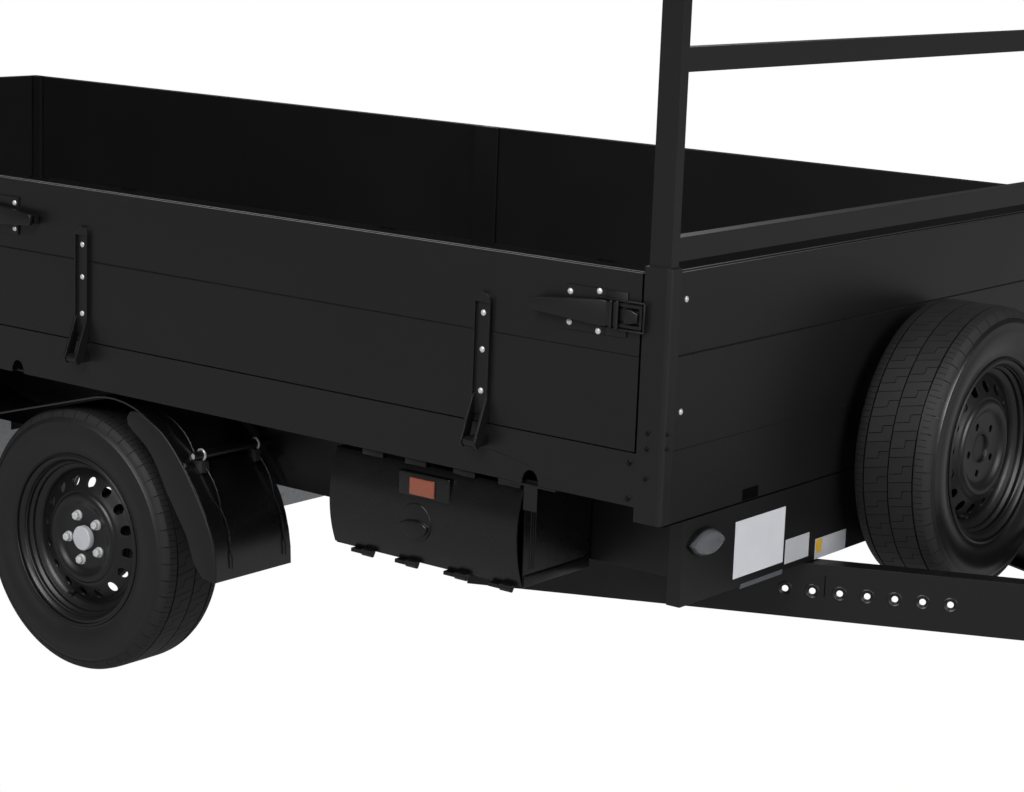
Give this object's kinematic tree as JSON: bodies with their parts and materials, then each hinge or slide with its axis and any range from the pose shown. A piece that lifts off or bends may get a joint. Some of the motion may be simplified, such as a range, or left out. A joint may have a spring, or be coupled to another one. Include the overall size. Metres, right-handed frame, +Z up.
{
  "type": "dropside flatbed utility trailer",
  "caption": "Twin-axle flatbed utility trailer with drop-down side panels and tailboard, front ladder rack, side toolbox, spare wheel and a folding jockey wheel on its drawbar.",
  "frame": {"origin": "on the ground under the middle of the whole trailer", "axes": "+X forward along the drawbar, +Y to the left, +Z up out of the load floor"},
  "size_m": [5.584, 2.126, 1.75],
  "materials": {
    "black_powder_coat": "satin powder coat",
    "black_panel": "satin powder coat on aluminium planks",
    "galvanised_steel": "hot-dip galvanised",
    "black_wheel_steel": "gloss black enamel on pressed steel",
    "tyre_rubber": "tyre tread and sidewall",
    "black_plastic": "moulded polyethylene",
    "floor_ply": "film-faced plywood",
    "gaiter_rubber": "moulded rubber",
    "cast_steel": "painted casting",
    "lamp_lens": "moulded lamp lens",
    "jockey_grey": "grey wheel centre with a rubber tread"
  },
  "bodies": {
    "root": {"side_rails": "black_powder_coat", "rear_rail": "black_powder_coat", "floor_board": "floor_ply", "floor_cross_members": "black_powder_coat", "side_members": "black_powder_coat", "front_end_plate": "black_powder_coat", "rear_end_plate": "black_powder_coat", "lamps": "lamp_lens", "drawbar_beam_right": "black_powder_coat", "drawbar_beam_left": "black_powder_coat", "front_panel": "black_panel", "corner_posts": "black_powder_coat", "middle_posts": "black_powder_coat", "rack_uprights": "black_powder_coat", "rack_crossbars": "black_powder_coat", "axle_tubes": "galvanised_steel", "trailing_arms": "galvanised_steel", "mudguard_right": "black_plastic", "mudguard_left": "black_plastic", "mudguard_stays": "galvanised_steel", "toolbox_body": "black_plastic", "toolbox_brackets": "galvanised_steel", "overrun_housing": "cast_steel", "overrun_gaiter": "gaiter_rubber", "coupling_head": "cast_steel", "handbrake_lever": "black_plastic", "spare_tyre": "tyre_rubber", "spare_wheel": "black_wheel_steel", "spare_carrier": "black_powder_coat", "jockey_tube": "galvanised_steel"},
    "wheel_set_front_right": {"tyre_front_right": "tyre_rubber", "wheel_front_right": "black_wheel_steel"},
    "wheel_set_front_left": {"tyre_front_left": "tyre_rubber", "wheel_front_left": "black_wheel_steel"},
    "wheel_set_rear_right": {"tyre_rear_right": "tyre_rubber", "wheel_rear_right": "black_wheel_steel"},
    "wheel_set_rear_left": {"tyre_rear_left": "tyre_rubber", "wheel_rear_left": "black_wheel_steel"},
    "dropside_front_right": {"side_panel_front_right": "black_panel", "side_fittings_front_right": "black_powder_coat"},
    "dropside_front_left": {"side_panel_front_left": "black_panel", "side_fittings_front_left": "black_powder_coat"},
    "dropside_rear_right": {"side_panel_rear_right": "black_panel", "side_fittings_rear_right": "black_powder_coat"},
    "dropside_rear_left": {"side_panel_rear_left": "black_panel", "side_fittings_rear_left": "black_powder_coat"},
    "tailgate": {"tailboard": "black_panel", "tailboard_fittings": "black_powder_coat"},
    "toolbox_door": {"toolbox_lid": "black_plastic"},
    "jockey_post": {"jockey_slider": "galvanised_steel"},
    "jockey_leg": {"jockey_fork": "galvanised_steel"},
    "jockey_roller": {"jockey_wheel": "jockey_grey"}
  },
  "joints": [
    {"name": "wheel_set_front_right_spin", "type": "hinge", "parent": "root", "child": "wheel_set_front_right", "pos_m": [-0.3546, -0.8935, 0.3175], "axis": [0, 1, 0], "continuous": true},
    {"name": "wheel_set_front_left_spin", "type": "hinge", "parent": "root", "child": "wheel_set_front_left", "pos_m": [-0.3546, 0.8935, 0.3175], "axis": [0, 1, 0], "continuous": true},
    {"name": "wheel_set_rear_right_spin", "type": "hinge", "parent": "root", "child": "wheel_set_rear_right", "pos_m": [-1.1546, -0.8935, 0.3175], "axis": [0, 1, 0], "continuous": true},
    {"name": "wheel_set_rear_left_spin", "type": "hinge", "parent": "root", "child": "wheel_set_rear_left", "pos_m": [-1.1546, 0.8935, 0.3175], "axis": [0, 1, 0], "continuous": true},
    {"name": "dropside_front_right_hinge", "type": "hinge", "parent": "root", "child": "dropside_front_right", "pos_m": [0.292, -1.051, 0.775], "axis": [1, 0, 0], "range_deg": [0, 180]},
    {"name": "dropside_front_left_hinge", "type": "hinge", "parent": "root", "child": "dropside_front_left", "pos_m": [0.292, 1.051, 0.775], "axis": [-1, 0, 0], "range_deg": [0, 180]},
    {"name": "dropside_rear_right_hinge", "type": "hinge", "parent": "root", "child": "dropside_rear_right", "pos_m": [-1.708, -1.051, 0.775], "axis": [1, 0, 0], "range_deg": [0, 180]},
    {"name": "dropside_rear_left_hinge", "type": "hinge", "parent": "root", "child": "dropside_rear_left", "pos_m": [-1.708, 1.051, 0.775], "axis": [-1, 0, 0], "range_deg": [0, 180]},
    {"name": "tailgate_hinge", "type": "hinge", "parent": "root", "child": "tailgate", "pos_m": [-2.78, 0, 0.775], "axis": [0, -1, 0], "range_deg": [0, 180]},
    {"name": "toolbox_lid_hinge", "type": "hinge", "parent": "root", "child": "toolbox_door", "pos_m": [0.707, -0.968, 0.46], "axis": [-1, 0, 0], "range_deg": [-110, 0]},
    {"name": "jockey_raise", "type": "slide", "parent": "root", "child": "jockey_post", "axis": [0, 0, 1], "range_m": [0, 0.08]},
    {"name": "jockey_fold", "type": "hinge", "parent": "jockey_post", "child": "jockey_leg", "pos_m": [1.932, 0, 0.34], "axis": [0, 1, 0], "range_deg": [0, 104]},
    {"name": "jockey_wheel_spin", "type": "hinge", "parent": "jockey_leg", "child": "jockey_roller", "pos_m": [1.938, 0, 0.11], "axis": [0, 1, 0], "continuous": true}
  ]
}
